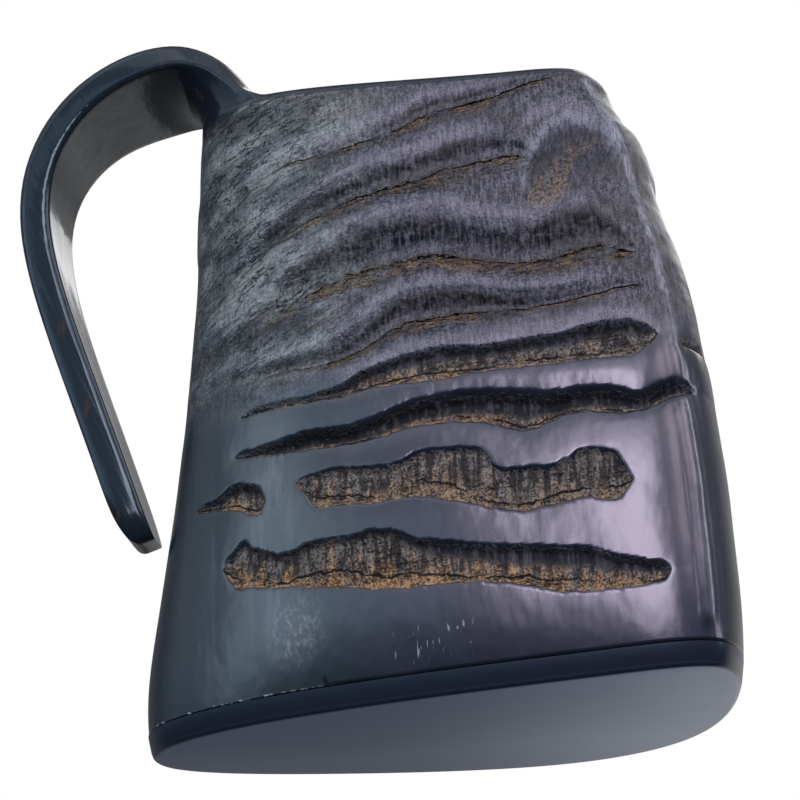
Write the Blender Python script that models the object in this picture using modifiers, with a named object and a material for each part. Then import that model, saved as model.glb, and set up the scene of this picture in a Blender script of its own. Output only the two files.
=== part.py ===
"""Horn tankard: a hollow horn whose own strap is bent over as the handle, on a glued base plate.

The frame has X from the handle to the broad side, -Y out of the ridged front, +Z up, and its origin on
the middle of the face that the tankard stands on.
"""

import math

import bmesh
import bpy
import numpy as np
from mathutils import Vector
from mathutils.geometry import interpolate_bezier

MM = 0.001

# Base plate
PLATE_THICKNESS = 5.0 * MM
PLATE_DRAFT = 0.8 * MM
PLATE_EDGE_RADIUS = 1.2 * MM
GLUE_GAP = 0.3 * MM

# Horn wall, measured outside, at the seam over the plate and at the rim
SEAM_LENGTH = 129.0 * MM
SEAM_DEPTH = 75.6 * MM
RIM_LENGTH = 95.0 * MM
RIM_DEPTH = 49.0 * MM
RIM_SHIFT_X = -2.0 * MM
RIM_SHIFT_Y = 4.5 * MM
RIM_HEIGHT = 145.5 * MM
RIM_RISE = 4.5 * MM
FOOT_HEIGHT = 26.0 * MM
WALL_AT_SEAM = 4.5 * MM
WALL_AT_RIM = 5.2 * MM

# Strap handle, on its hollow side, measured from the horn's narrow edge at the rim
STRAP_RISE = 12.0 * MM
STRAP_CREST_OUT = 10.0 * MM
STRAP_REACH = 36.6 * MM
STRAP_BOW_DROP = 16.0 * MM
STRAP_END_DROP = 99.0 * MM
STRAP_END_OUT = 13.3 * MM
STRAP_END_LEAN = math.radians(17.0)
STRAP_BOW_PULL = 0.2
STRAP_END_PULL = 0.55
STRAP_ROOT_WIDTH = 44.0 * MM
STRAP_ROOT_FILLET = 6.5 * MM
STRAP_END_WIDTH = 13.0 * MM
STRAP_NARROWING = 45.0 * MM
STRAP_THICKNESS = 7.2 * MM
STRAP_END_THICKNESS = 3.6 * MM
STRAP_END_ROUNDING = 12.0 * MM
STRAP_UNCURL = 22.0 * MM
STRAP_SWAY = 4.0 * MM

# Glue bead inside, in the corner between wall and plate
BEAD_RADIUS = 1.2 * MM
BEAD_CLEARANCE = 0.6 * MM

# The lengthwise edges of the horn, in order round it from the narrow edge by the ridged front. Each has its
# place on the seam outline and on the rim outline, as shares of the half length and half depth, and its
# swell: over 1 the edge keeps its place at the seam for longer, under 1 it draws in low down.
HORN_EDGES = (
    ((-1.05, 0.16), (-1.05, 0.06), 0.33),
    ((-0.98, -0.28), (-1.01, -0.54), 0.50),
    ((-0.62, -0.66), (-0.70, -1.04), 1.0),
    ((0.00, -0.90), (-0.02, -1.06), 1.3),
    ((0.62, -1.03), (0.58, -1.04), 1.6),
    ((1.04, -1.14), (1.02, -1.12), 2.2),
    ((1.06, -0.40), (1.06, -0.36), 2.5),
    ((0.94, 0.66), (0.92, 0.64), 2.0),
    ((0.40, 1.16), (0.32, 1.14), 1.5),
    ((-0.52, 0.74), (-0.52, 0.84), 1.0),
    ((-0.90, 0.46), (-0.90, 0.48), 0.45),
)

# The open growth grooves across the front: the end by the handle and the far end, each as shares of the
# horn's half length and of its height, then width and depth. They fan out towards the broad side, because
# the horn bends to the handle.
GROOVES = (
    ((-0.69, 0.205), (0.80, 0.098), 11.0 * MM, 2.6 * MM),
    ((-0.47, 0.319), (0.74, 0.248), 10.5 * MM, 2.4 * MM),
    ((-0.85, 0.326), (-0.58, 0.305), 5.0 * MM, 1.4 * MM),
    ((-0.69, 0.390), (0.86, 0.383), 6.0 * MM, 2.2 * MM),
    ((-0.16, 0.483), (0.84, 0.490), 6.5 * MM, 1.6 * MM),
    ((-0.53, 0.576), (0.84, 0.561), 6.0 * MM, 1.5 * MM),
    ((-0.38, 0.704), (0.80, 0.654), 9.0 * MM, 1.8 * MM),
    ((-0.81, 0.811), (0.57, 0.861), 8.0 * MM, 1.5 * MM),
    ((-0.61, 0.882), (0.77, 0.968), 5.0 * MM, 1.2 * MM),
)
GROOVE_RUNOUT = 1.2

# Colours
HORN_COLOUR = (0.021, 0.023, 0.030)
PLATE_COLOUR = (0.060, 0.064, 0.078)
GLUE_COLOUR = (0.30, 0.22, 0.12)

# How finely the surfaces are divided
OUTLINE_SAMPLES = 440
STRAP_COLUMNS = 8
WALL_COLUMNS = 28
WALL_ROWS = 10
STRAP_ROWS = 20
PATH_STEPS = 40
OUTLINE_POINTS = 55
BEAD_RESOLUTION = 2
GROOVE_POINTS = 9
GROOVE_RESOLUTION = 6
EDGE_SEGMENTS = 3
COLUMN_CROWDING = 0.5
WALL_ROW_CROWDING = 1.3
STRAP_ROW_CROWDING = 0.8
WELD_DISTANCE = 0.01 * MM

SEAM_HEIGHT = PLATE_THICKNESS + GLUE_GAP


def closed_spline(points, parameters):
    """A smooth closed curve drawn by the points, read at parameters that count the points."""
    start = np.floor(parameters).astype(int)
    f = (parameters - start)[:, None]
    a, b, c, d = (points[(start + step) % len(points)] for step in (-1, 0, 1, 2))
    near = b * (3 * f**3 - 6 * f**2 + 4) + c * (1 + 3 * f + 3 * f**2 - 3 * f**3)
    return (a * (1 - f) ** 3 + near + d * f**3) / 6


def round_the_horn(values):
    """One value for each lengthwise edge, eased into one for each sample of an outline."""
    parameters = np.linspace(0, len(values), OUTLINE_SAMPLES, endpoint=False)
    return closed_spline(np.array(values), parameters)


def outline(shares, length, depth, centre):
    """The outline drawn by the shares, made exactly as long and deep as the sizes say."""
    curve = round_the_horn(shares)
    low, high = curve.min(axis=0), curve.max(axis=0)
    return (curve - (low + high) / 2) / (high - low) * (length, depth) + centre


SEAM_OUTLINE = outline([edge[0] for edge in HORN_EDGES], SEAM_LENGTH, SEAM_DEPTH, (0, 0))
RIM_OUTLINE = outline([edge[1] for edge in HORN_EDGES], RIM_LENGTH, RIM_DEPTH, (RIM_SHIFT_X, RIM_SHIFT_Y))
SWELL = round_the_horn([edge[2:] for edge in HORN_EDGES])[:, 0]


def rim_level(x):
    """The rim climbs evenly from the broad side to the handle."""
    broad_side = RIM_SHIFT_X + RIM_LENGTH / 2
    return RIM_HEIGHT + RIM_RISE * (broad_side - x) / RIM_LENGTH


RIM_LEVELS = rim_level(RIM_OUTLINE[:, 0])


def horn_outline(heights):
    """The horn's outside at a height for each sample: upright at its foot, then drawn in to the rim."""
    climb = np.clip((heights - SEAM_HEIGHT) / (RIM_LEVELS - SEAM_HEIGHT), 0, 1)
    foot = FOOT_HEIGHT / (RIM_LEVELS - SEAM_HEIGHT)
    climb = climb**2 * (1 + foot) / (climb + foot)
    drawn_in = np.where(SWELL >= 1, climb**SWELL, 1 - (1 - climb) ** (1 / SWELL))
    return SEAM_OUTLINE + (RIM_OUTLINE - SEAM_OUTLINE) * drawn_in[:, None]


def front_of_horn(along, up):
    """The point of the ridged front at shares of its half length and height, and the way out of it."""
    z = SEAM_HEIGHT + up * (RIM_HEIGHT - SEAM_HEIGHT)
    curve = horn_outline(np.full(OUTLINE_SAMPLES, z))
    curve = np.roll(curve, -int(np.argmin(curve[:, 0])), axis=0)
    curve = curve[: int(np.argmax(curve[:, 0])) + 1]
    narrow_edge, broad_side = curve[0, 0], curve[-1, 0]
    x = narrow_edge + (broad_side - narrow_edge) * (1 + along) / 2
    y = np.interp(x, curve[:, 0], curve[:, 1])
    slope = np.interp(x, curve[:, 0], np.gradient(curve[:, 1], curve[:, 0]))
    return Vector((x, y, z)), Vector((slope, -1, 0)).normalized()


def inset(points, distance):
    """A closed outline moved inwards by a distance."""
    along = np.roll(points, -1, axis=0) - np.roll(points, 1, axis=0)
    along /= np.linalg.norm(along, axis=1)[:, None]
    return points + distance * np.column_stack([-along[:, 1], along[:, 0]])


def thinned(points):
    """The samples of an outline that the plate and the bead follow, evenly chosen."""
    return points[np.arange(OUTLINE_POINTS) * len(points) // OUTLINE_POINTS]


def lengths_along(points):
    steps = np.linalg.norm(np.diff(points, axis=0), axis=1)
    return np.concatenate([[0], np.cumsum(steps)])


def eased(share):
    share = min(max(share, 0.0), 1.0)
    return share * share * (3 - 2 * share)


def quarter_round(share):
    """Falls from 1 to 0 as a quarter circle does."""
    return math.sqrt(1 - min(max(share, 0.0), 1.0) ** 2)


class RimArc:
    """The rim's outline by its length, counted from the horn's narrow edge towards the front."""

    def __init__(self):
        first = int(np.argmin(RIM_OUTLINE[:, 0]))
        self.order = (np.arange(OUTLINE_SAMPLES + 1) + first) % OUTLINE_SAMPLES
        self.lengths = lengths_along(RIM_OUTLINE[self.order])
        self.girth = self.lengths[-1]
        self.narrow_edge = RIM_OUTLINE[first]

    def read(self, values, arcs):
        """Values round the outline, read at lengths along the rim."""
        return np.array([np.interp(arcs % self.girth, self.lengths, row) for row in values[self.order].T]).T

    def columns(self):
        """Lengths along the rim of the wall's columns: the strap's first, closer at its edges."""
        half_root = STRAP_ROOT_WIDTH / 2 + STRAP_ROOT_FILLET
        strap = np.linspace(-half_root, half_root, STRAP_COLUMNS + 1)
        share = np.arange(1, WALL_COLUMNS) / WALL_COLUMNS
        share -= COLUMN_CROWDING * np.sin(2 * math.pi * share) / (2 * math.pi)
        return np.concatenate([strap, half_root + (self.girth - 2 * half_root) * share])


class StrapPath:
    """The strap's hollow side, from the rim over its crest and bow to its free end, in X and Z."""

    def __init__(self, root):
        crest = root + Vector((-STRAP_CREST_OUT, STRAP_RISE))
        bow = root + Vector((-STRAP_REACH, -STRAP_BOW_DROP))
        end = root + Vector((-STRAP_END_OUT, -STRAP_END_DROP))
        last = Vector((math.sin(STRAP_END_LEAN), -math.cos(STRAP_END_LEAN)))
        drop = bow.y - end.y
        spans = (
            self.quarter_turn(root, Vector((root.x, crest.y)), crest),
            self.quarter_turn(crest, Vector((bow.x, crest.y)), bow),
            (bow, bow - Vector((0, STRAP_BOW_PULL * drop)), end - last * STRAP_END_PULL * drop, end),
        )
        points = [point for span in spans for point in interpolate_bezier(*span, PATH_STEPS)[:-1]]
        self.points = np.array([*points, end])
        self.lengths = lengths_along(self.points)
        self.length = self.lengths[-1]

    @staticmethod
    def quarter_turn(start, corner, end):
        """A quarter of an ellipse that runs towards the corner first."""
        pull = 4 / 3 * (math.sqrt(2) - 1)
        return start, start.lerp(corner, pull), end.lerp(corner, pull), end

    def at(self, length):
        """The place, the direction and the way out of the hollow side at this length along the strap."""
        place = np.array([np.interp(length, self.lengths, self.points[:, k]) for k in (0, 1)])
        near = min(int(np.searchsorted(self.lengths, length, side="right")), len(self.points) - 1)
        before, after = self.points[max(near - 2, 0)], self.points[min(near + 1, len(self.points) - 1)]
        along = (after - before) / np.linalg.norm(after - before)
        return place, along, np.array([-along[1], along[0]])

    def half_width(self, length):
        width = STRAP_END_WIDTH + (STRAP_ROOT_WIDTH - STRAP_END_WIDTH) * math.exp(-length / STRAP_NARROWING)
        width *= (1 + quarter_round(1 - (self.length - length) / STRAP_END_WIDTH)) / 2
        fillet = STRAP_ROOT_FILLET * (1 - quarter_round(1 - length / STRAP_ROOT_FILLET))
        return width / 2 + fillet

    def thickness(self, length):
        grown = WALL_AT_RIM + (STRAP_THICKNESS - WALL_AT_RIM) * eased(length / STRAP_UNCURL)
        rounded = quarter_round(1 - (self.length - length) / STRAP_END_ROUNDING)
        return STRAP_END_THICKNESS + (grown - STRAP_END_THICKNESS) * rounded


def cage_round(points):
    """A ring of points spread outwards, so that the smoothed surface passes through where they were."""
    return points + (2 * points - np.roll(points, 1, axis=0) - np.roll(points, -1, axis=0)) / 6


def wall_rows(rim, arcs):
    """The wall's rows from below the seam to the rim, each as its points and its thickness."""
    low = SEAM_HEIGHT - WALL_AT_SEAM
    for share in 1 - np.linspace(1, 0, WALL_ROWS + 1) ** WALL_ROW_CROWDING:
        heights = low + (RIM_LEVELS - low) * share
        points = np.column_stack([horn_outline(heights), heights])
        yield cage_round(rim.read(points, arcs)), WALL_AT_SEAM + (WALL_AT_RIM - WALL_AT_SEAM) * share


def strap_rows(rim):
    """The strap's rows past the rim. Its section starts curled like the wall and flattens on the way."""
    narrow_x, narrow_y = rim.narrow_edge
    path = StrapPath(Vector((narrow_x, rim_level(narrow_x))))
    for row in range(1, STRAP_ROWS + 1):
        turn = 2 * math.pi * row / STRAP_ROWS
        length = path.length * (turn - STRAP_ROW_CROWDING * math.sin(turn)) / (2 * math.pi)
        place, along, outward = path.at(length)
        arcs = path.half_width(length) * np.linspace(-1, 1, STRAP_COLUMNS + 1)
        curled = rim.read(RIM_OUTLINE, arcs)
        curl = 1 - eased(length / STRAP_UNCURL)
        behind = curl * (curled[:, 0] - narrow_x)
        lag = curl * (rim_level(curled[:, 0]) - rim_level(narrow_x))
        across = narrow_y + curl * (curled[:, 1] - narrow_y) + (1 - curl) * (STRAP_SWAY - arcs)
        flat = place - behind[:, None] * outward + lag[:, None] * along
        yield np.column_stack([flat[:, 0], across, flat[:, 1]]), path.thickness(length)


def horn_sheet():
    """The horn's outside as one open sheet, wall and strap, weighted with the wall's thickness."""
    rim = RimArc()
    arcs = rim.columns()
    mesh = bmesh.new()
    weights = mesh.verts.layers.deform.verify()

    def add_row(points, thickness):
        row = [mesh.verts.new(point) for point in points]
        for vert in row:
            vert[weights][0] = thickness / STRAP_THICKNESS
        return row

    def add_band(lower, upper, closed):
        for here in range(len(upper) - (not closed)):
            after = (here + 1) % len(upper)
            mesh.faces.new((lower[here], lower[after], upper[after], upper[here]))

    lower = None
    for points, thickness in wall_rows(rim, arcs):
        upper = add_row(points, thickness)
        if lower:
            add_band(lower, upper, closed=True)
        lower = upper
    for points, thickness in strap_rows(rim):
        upper = add_row(points, thickness)
        add_band(lower, upper, closed=False)
        lower = upper
    return mesh


def clear_scene():
    for thing in list(bpy.data.objects):
        bpy.data.objects.remove(thing, do_unlink=True)


def new_collection(name):
    collection = bpy.data.collections.new(name)
    bpy.context.scene.collection.children.link(collection)
    return collection


def new_material(name, colour, roughness):
    material = bpy.data.materials.new(name)
    material.use_nodes = True
    shader = material.node_tree.nodes["Principled BSDF"]
    shader.inputs["Base Color"].default_value = (*colour, 1.0)
    shader.inputs["Roughness"].default_value = roughness
    shader.inputs["Metallic"].default_value = 0.0
    return material


def mesh_object(name, mesh, collection):
    data = bpy.data.meshes.new(name)
    mesh.to_mesh(data)
    mesh.free()
    data.shade_smooth()
    thing = bpy.data.objects.new(name, data)
    collection.objects.link(thing)
    return thing


def as_cutter(thing):
    thing.hide_render = True
    thing.display_type = "WIRE"


def seam_cutter(collection):
    """A block under the seam, clear of the wall all round, that cuts the wall flat."""
    mesh = bmesh.new()
    bmesh.ops.create_cube(mesh, size=1)
    height = 4 * WALL_AT_SEAM
    bmesh.ops.scale(mesh, vec=(2 * SEAM_LENGTH, 2 * SEAM_DEPTH, height), verts=mesh.verts)
    bmesh.ops.translate(mesh, vec=(0, 0, SEAM_HEIGHT - height / 2), verts=mesh.verts)
    as_cutter(mesh_object("seam_cutter", mesh, collection))


def groove_cutter(number, groove, collection):
    """A round bar along the front that sinks in by the groove's depth and runs out at its ends."""
    start, end, width, depth = groove
    radius = (width**2 / 4 + depth**2) / (2 * depth)
    curve = bpy.data.curves.new("groove", "CURVE")
    curve.dimensions = "3D"
    curve.bevel_depth = radius
    curve.bevel_resolution = GROOVE_RESOLUTION
    curve.use_fill_caps = True
    bar = curve.splines.new("POLY")
    bar.points.add(GROOVE_POINTS - 1)
    places = np.linspace(start, end, GROOVE_POINTS)
    for point, place, side in zip(bar.points, places, np.linspace(-1, 1, GROOVE_POINTS)):
        surface, outward = front_of_horn(*place)
        sunk = depth * (1 - GROOVE_RUNOUT * side**4)
        point.co = (*(surface + outward * (radius - depth)), 1)
        point.radius = (radius - depth + sunk) / radius
    guide = bpy.data.objects.new("groove", curve)
    collection.objects.link(guide)
    graph = bpy.context.evaluated_depsgraph_get()
    mesh = bmesh.new()
    mesh.from_mesh(bpy.data.meshes.new_from_object(guide.evaluated_get(graph)))
    bmesh.ops.remove_doubles(mesh, verts=mesh.verts, dist=WELD_DISTANCE)
    bpy.data.objects.remove(guide, do_unlink=True)
    as_cutter(mesh_object(f"groove_cutter_{number}", mesh, collection))


def horn_body(collection, cutters):
    body = mesh_object("horn_body", horn_sheet(), collection)
    body.vertex_groups.new(name="wall_thickness")
    wall = body.modifiers.new("wall", "SOLIDIFY")
    wall.thickness = STRAP_THICKNESS
    wall.vertex_group = "wall_thickness"
    wall.offset = -1
    wall.use_even_offset = True
    wall.use_quality_normals = True
    rounding = body.modifiers.new("rounded_edges", "SUBSURF")
    rounding.levels = 1
    rounding.render_levels = 1
    cut = body.modifiers.new("seam_and_grooves", "BOOLEAN")
    cut.operation = "DIFFERENCE"
    cut.solver = "EXACT"
    cut.operand_type = "COLLECTION"
    cut.collection = cutters
    body.data.materials.append(new_material("polished_horn", HORN_COLOUR, 0.35))


def base_plate(collection):
    mesh = bmesh.new()
    top = [mesh.verts.new((x, y, PLATE_THICKNESS)) for x, y in thinned(SEAM_OUTLINE)]
    under = [mesh.verts.new((x, y, 0)) for x, y in thinned(inset(SEAM_OUTLINE, PLATE_DRAFT))]
    mesh.faces.new(top)
    foot = mesh.faces.new(reversed(under))
    for here in range(OUTLINE_POINTS):
        after = (here + 1) % OUTLINE_POINTS
        mesh.faces.new((under[here], under[after], top[after], top[here]))
    edges = list(foot.edges)
    bmesh.ops.bevel(
        mesh, geom=edges, offset=PLATE_EDGE_RADIUS, segments=EDGE_SEGMENTS, profile=0.5, affect="EDGES"
    )
    plate = mesh_object("base_plate", mesh, collection)
    plate.data.set_sharp_from_angle(angle=math.radians(40))
    plate.data.materials.append(new_material("satin_horn", PLATE_COLOUR, 0.45))


def seal_bead(collection):
    height = PLATE_THICKNESS + BEAD_CLEARANCE + BEAD_RADIUS
    wall_to_middle = WALL_AT_SEAM + BEAD_CLEARANCE + BEAD_RADIUS
    route = thinned(inset(horn_outline(np.full(OUTLINE_SAMPLES, height)), wall_to_middle))
    curve = bpy.data.curves.new("seal_bead", "CURVE")
    curve.dimensions = "3D"
    curve.bevel_depth = BEAD_RADIUS
    curve.bevel_resolution = BEAD_RESOLUTION
    spline = curve.splines.new("POLY")
    spline.points.add(OUTLINE_POINTS - 1)
    for point, (x, y) in zip(spline.points, route):
        point.co = (x, y, height, 1)
    spline.use_cyclic_u = True
    curve.materials.append(new_material("clear_glue", GLUE_COLOUR, 0.25))
    collection.objects.link(bpy.data.objects.new("seal_bead", curve))


def main():
    clear_scene()
    parts = new_collection("horn_tankard")
    cutters = new_collection("cutters")
    seam_cutter(cutters)
    for number, groove in enumerate(GROOVES, start=1):
        groove_cutter(number, groove, cutters)
    horn_body(parts, cutters)
    base_plate(parts)
    seal_bead(parts)


main()
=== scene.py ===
"""A horn tankard: a hollow length of dark ridged horn on a glued base, its own strap bent over as the handle.

X runs from the handle to the broad side, -Y out of the ridged front and +Z up, all in metres.
"""

import math
from functools import partial, reduce
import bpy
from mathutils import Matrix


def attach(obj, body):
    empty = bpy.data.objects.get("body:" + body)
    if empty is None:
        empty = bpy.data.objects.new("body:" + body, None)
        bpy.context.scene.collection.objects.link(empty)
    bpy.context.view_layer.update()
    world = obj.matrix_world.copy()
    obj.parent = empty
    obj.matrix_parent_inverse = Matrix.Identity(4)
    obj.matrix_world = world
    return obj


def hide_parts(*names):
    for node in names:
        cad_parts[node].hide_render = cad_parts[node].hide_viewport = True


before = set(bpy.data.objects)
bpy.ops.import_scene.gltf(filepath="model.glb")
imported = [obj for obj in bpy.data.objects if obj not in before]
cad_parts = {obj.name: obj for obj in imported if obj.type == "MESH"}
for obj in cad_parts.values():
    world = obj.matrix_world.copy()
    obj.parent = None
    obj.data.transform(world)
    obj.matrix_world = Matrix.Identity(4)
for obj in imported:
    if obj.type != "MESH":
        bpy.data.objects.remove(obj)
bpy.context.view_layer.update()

from types import SimpleNamespace

import bmesh
import bpy
import numpy as np
from mathutils import Matrix, Vector
from mathutils.geometry import interpolate_bezier

MM = 0.001

# Base plate
PLATE_THICKNESS = 5.0 * MM
PLATE_DRAFT = 0.8 * MM
PLATE_EDGE_RADIUS = 1.2 * MM
PLATE_CHAMFER = 0.12 * MM
PLATE_SHARP_ANGLE = math.radians(50)
PLATE_SIDES = 220
GLUE_GAP = 0.3 * MM
SEAM_HEIGHT = PLATE_THICKNESS + GLUE_GAP

# Horn wall, measured outside, at the seam over the plate and at the rim
SEAM_LENGTH = 129.0 * MM
SEAM_DEPTH = 75.6 * MM
RIM_LENGTH = 95.0 * MM
RIM_DEPTH = 49.0 * MM
RIM_SHIFT_X = -2.0 * MM
RIM_SHIFT_Y = 4.5 * MM
RIM_HEIGHT = 145.5 * MM
RIM_RISE = 4.5 * MM
FOOT_HEIGHT = 26.0 * MM
WALL_AT_SEAM = 4.5 * MM
WALL_AT_RIM = 5.2 * MM

# Strap handle, on its hollow side, measured from the horn's narrow edge at the rim
STRAP_RISE = 12.0 * MM
STRAP_CREST_OUT = 10.0 * MM
STRAP_REACH = 36.6 * MM
STRAP_BOW_DROP = 16.0 * MM
STRAP_END_DROP = 99.0 * MM
STRAP_END_OUT = 13.3 * MM
STRAP_END_LEAN = math.radians(17.0)
STRAP_BOW_PULL = 0.2
STRAP_END_PULL = 0.55
STRAP_ROOT_WIDTH = 44.0 * MM
STRAP_ROOT_FILLET = 6.5 * MM
STRAP_END_WIDTH = 13.0 * MM
STRAP_NARROWING = 45.0 * MM
STRAP_THICKNESS = 7.2 * MM
STRAP_END_THICKNESS = 3.6 * MM
STRAP_END_ROUNDING = 12.0 * MM
STRAP_UNCURL = 22.0 * MM
STRAP_SWAY = 4.0 * MM

# Glue bead inside, in the corner between wall and plate
BEAD_RADIUS = 1.2 * MM
BEAD_CLEARANCE = 0.6 * MM
BEAD_SIDES = 12
BEAD_STRIDE = 6

# The lengthwise edges of the horn, in order round it from the narrow edge by the ridged front: their place on
# the seam outline and on the rim outline, as shares of the half length and half depth, and their swell.
HORN_EDGES = (
    ((-1.05, 0.16), (-1.05, 0.06), 0.33),
    ((-0.98, -0.28), (-1.01, -0.54), 0.50),
    ((-0.62, -0.66), (-0.70, -1.04), 1.0),
    ((0.00, -0.90), (-0.02, -1.06), 1.3),
    ((0.62, -1.03), (0.58, -1.04), 1.6),
    ((1.04, -1.14), (1.02, -1.12), 2.2),
    ((1.06, -0.40), (1.06, -0.36), 2.5),
    ((0.94, 0.66), (0.92, 0.64), 2.0),
    ((0.40, 1.16), (0.32, 1.14), 1.5),
    ((-0.52, 0.74), (-0.52, 0.84), 1.0),
    ((-0.90, 0.46), (-0.90, 0.48), 0.45),
)

# The growth grooves of the front, in millimetres: depth, how far the floor is torn into ochre fibres, a mark, how far
# the ridge above rolls over into it, and the outline as X, lower edge and upper edge. The mark is the share under the
# upper lip of an open groove that is painted in shade, or for a terrace, which has no lips, 1 and the share of its
# height where it cracks. A groove with no fibres at all only shapes the surface.
FRONT_GROOVES = (
    (1.4, 0.6, 1.6, 0.0, (
        (-44, 116, 119.5), (-35, 122, 126), (-27, 125.8, 130), (-17, 126, 132), (-8, 127, 134.6), (1, 128, 138),
        (6, 130, 141), (13, 131.8, 142), (21, 134, 143), (34.5, 139, 144),
    )),
    (2.3, 0.4, 1.48, 0.0, (
        (-46, 95, 99), (-37, 101, 106.5), (-27, 107, 114.6), (-20, 109, 118.4), (-10, 110.6, 123), (5, 112, 126.6),
        (13, 113.2, 129), (21, 113.6, 128.5), (28, 115, 126),
    )),
    (2.2, 0.0, 1.6, 0.0, (
        (26, 112, 121), (28.5, 108, 128), (32, 106, 132), (36, 106, 133), (41.5, 108, 130.5), (46, 112, 126),
        (50, 115, 121),
    )),
    (1.0, 0.5, 0.5, 0.5, (
        (27.4, 108, 110), (29, 105.6, 116), (31, 105.2, 123), (34, 105.6, 128), (36.5, 107.5, 129.6),
        (38, 113, 129.8), (40.5, 118.5, 128.8), (44, 121, 126.6), (46.5, 123, 124.4),
    )),
    (0.8, 0.3, 0.95, 0.2, (
        (37.2, 106.4, 108), (38.4, 106.2, 110.8), (40, 108.6, 113.6), (41, 111.4, 113.8),
    )),
    (2.8, 0.6, 1.36, 0.0, (
        (-46, 80, 84), (-37, 84, 90), (-29, 87.5, 97), (-20, 90, 105), (-9, 91.4, 109.4), (0, 92, 110.6),
        (6, 92.4, 110.6), (11, 91.8, 109), (16.5, 90.4, 106.4), (23, 88.8, 104.4), (29, 87.6, 104.2), (35, 87, 105.8),
        (41, 88, 106), (50, 90, 95),
    )),
    (2.3, 0.6, 1.4, 0.0, (
        (-46, 76, 78.6), (-28, 75.6, 79.4), (-19.2, 75, 80), (-12.2, 74.6, 82.5), (-5.5, 76, 87), (-2, 77.4, 89.6),
        (4.3, 78.4, 90.8), (10.2, 78.6, 90.4), (16.8, 79, 89), (22.2, 79.4, 87.2), (28, 79.8, 86), (40.5, 80.4, 86),
        (51, 82, 86.4),
    )),
    (1.8, 0.35, 0.3, 0.35, (
        (-36.5, 68, 68.8), (-30, 68.3, 69.4), (-22.5, 68, 69.2), (-14.3, 67.8, 70), (-11, 68.3, 71.7),
        (-5, 68.5, 73.5), (1, 68.2, 74.6), (8.7, 67.8, 74.9), (18, 68.2, 73.6), (27, 67.8, 73.9), (33.6, 67.6, 74),
        (41, 67.4, 75), (45.7, 67.1, 75.4), (50, 68.2, 74.3), (53.4, 71.4, 72.7),
    )),
    (3.0, 0.45, 0.62, 0.8, (
        (-38.5, 59.1, 59.9), (-32.6, 58.2, 59.8), (-21.7, 57.3, 60.7), (-12.3, 56.6, 60.1), (-5.5, 57.1, 61.5),
        (3.5, 58.3, 63.4), (16.3, 56.8, 63.2), (22.3, 54.5, 62.1), (25, 53.6, 61.6), (30, 54.8, 60.6), (36, 56, 60.7),
        (44.8, 54.6, 59.4), (48.6, 54.7, 57.7), (53, 56.2, 59.5), (56, 57.4, 60.6), (59.4, 58.5, 59.7),
    )),
    (1.1, 0.35, 0.0, 0.12, (
        (-24.5, 49.4, 50.2), (-22.2, 46.6, 50.4), (-19.9, 43.4, 50.8), (-16.5, 43, 51.3), (-4.3, 41.8, 49.8),
        (3.2, 41.6, 51.9), (8.2, 40, 51.6), (12, 39, 51.2), (15.4, 37.8, 50.2), (17.5, 37, 47.5), (19.2, 36.6, 45.3),
        (24.7, 35.3, 44.7), (29, 35.9, 44.2), (33.3, 36.4, 45.4), (37, 36.5, 47.1), (41.3, 35.5, 46.2),
        (44.5, 37.2, 42.7), (46.1, 38.9, 39.8),
    )),
    (1.5, 0.5, 0.3, 0.3, (
        (-48.5, 49.4, 50.2), (-43.1, 48.4, 50.9), (-40.2, 47.8, 52.5), (-34.2, 44.9, 51.5), (-32.3, 46.6, 48.9),
    )),
    (1.6, 0.75, 0.42, 0.12, (
        (-41.2, 32, 36.4), (-39, 29.7, 37.6), (-37, 29.2, 39.3), (-35, 28.8, 37.2), (-32, 28.2, 35.7),
        (-28, 27.4, 34.2), (-22, 26.1, 35.5), (-13, 24.4, 35.3), (-6.5, 23.1, 35.6), (2.3, 22.6, 31.9),
        (6, 22.5, 31.2), (16.2, 21.4, 28.8), (25.5, 19.1, 27.3), (30, 17.6, 26.5), (36, 17.1, 25.7), (40, 17, 23.7),
        (46, 16.9, 22), (50.5, 17.6, 20.8), (51.7, 18.8, 20.2),
    )),
    (1.1, 0.3, 0.4, 0.3, (
        (58.5, 69.5, 70.8), (60.5, 69.4, 71.8), (62.5, 69.6, 72.6),
    )),
)
# Where the edges of a groove lie this far apart, it is cut to its full depth
FULL_DEPTH_FROM = 2.4 * MM

# Low growth rings right round the horn: heights in millimetres, and a swell that is 0.5 where the horn is plain
GROWTH_RINGS = (
    (5, 0.5), (30, 0.47), (42, 0.53), (55, 0.45), (66, 0.55), (73, 0.42), (84, 0.55), (95, 0.5), (103, 0.25),
    (109, 0.2), (115, 0.6), (122, 1.0), (129, 0.55), (137, 0.15), (144, 0.5), (159, 0.5),
)

# Patterns of noise, by how many of their grains lie in a metre along X, Y and Z, so that 1000 is one to a millimetre,
# and by their detail and roughness. These shape the horn's surface.
CARVED_PATTERNS = {
    "coarse": ((350, 350, 350), 2.0, 0.5),  # waves of 3 mm in the edges of the grooves
    "fine": ((1100, 1100, 500), 1.0, 0.5),  # notches of 1 mm
    "lying": ((170, 300, 1500), 4.0, 0.5),  # fibres of 6 mm along the floors
    "standing": ((800, 300, 60), 3.0, 0.5),  # combs of 1.2 mm on the upper walls
    "lumps": ((110, 110, 170), 4.0, 0.6),  # lumps of 9 mm on the upper half
}

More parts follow.
